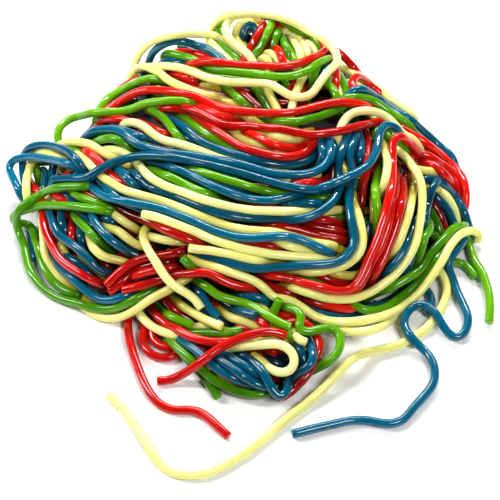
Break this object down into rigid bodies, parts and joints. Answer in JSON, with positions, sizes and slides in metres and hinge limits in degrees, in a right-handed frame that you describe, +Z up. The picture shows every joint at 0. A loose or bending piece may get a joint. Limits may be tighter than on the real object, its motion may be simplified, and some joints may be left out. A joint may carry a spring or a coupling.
{
  "type": "candy lace",
  "caption": "A loose heap of soft round candy laces in red, green, blue and pale yellow, with ends trailing on the table.",
  "frame": {"origin": "middle of the heap's box, at the level of the table it lies on", "axes": "+X to the right, -Y the front with the trailing ends, +Z up"},
  "size_m": [0.2598, 0.29, 0.0608],
  "materials": {
    "candy_red": "glossy jelly candy, red",
    "candy_yellow": "glossy jelly candy, pale yellow",
    "candy_green": "glossy jelly candy, green",
    "candy_blue": "glossy jelly candy, blue"
  },
  "bodies": {
    "root": {"laces": "candy_red"}
  },
  "joints": []
}
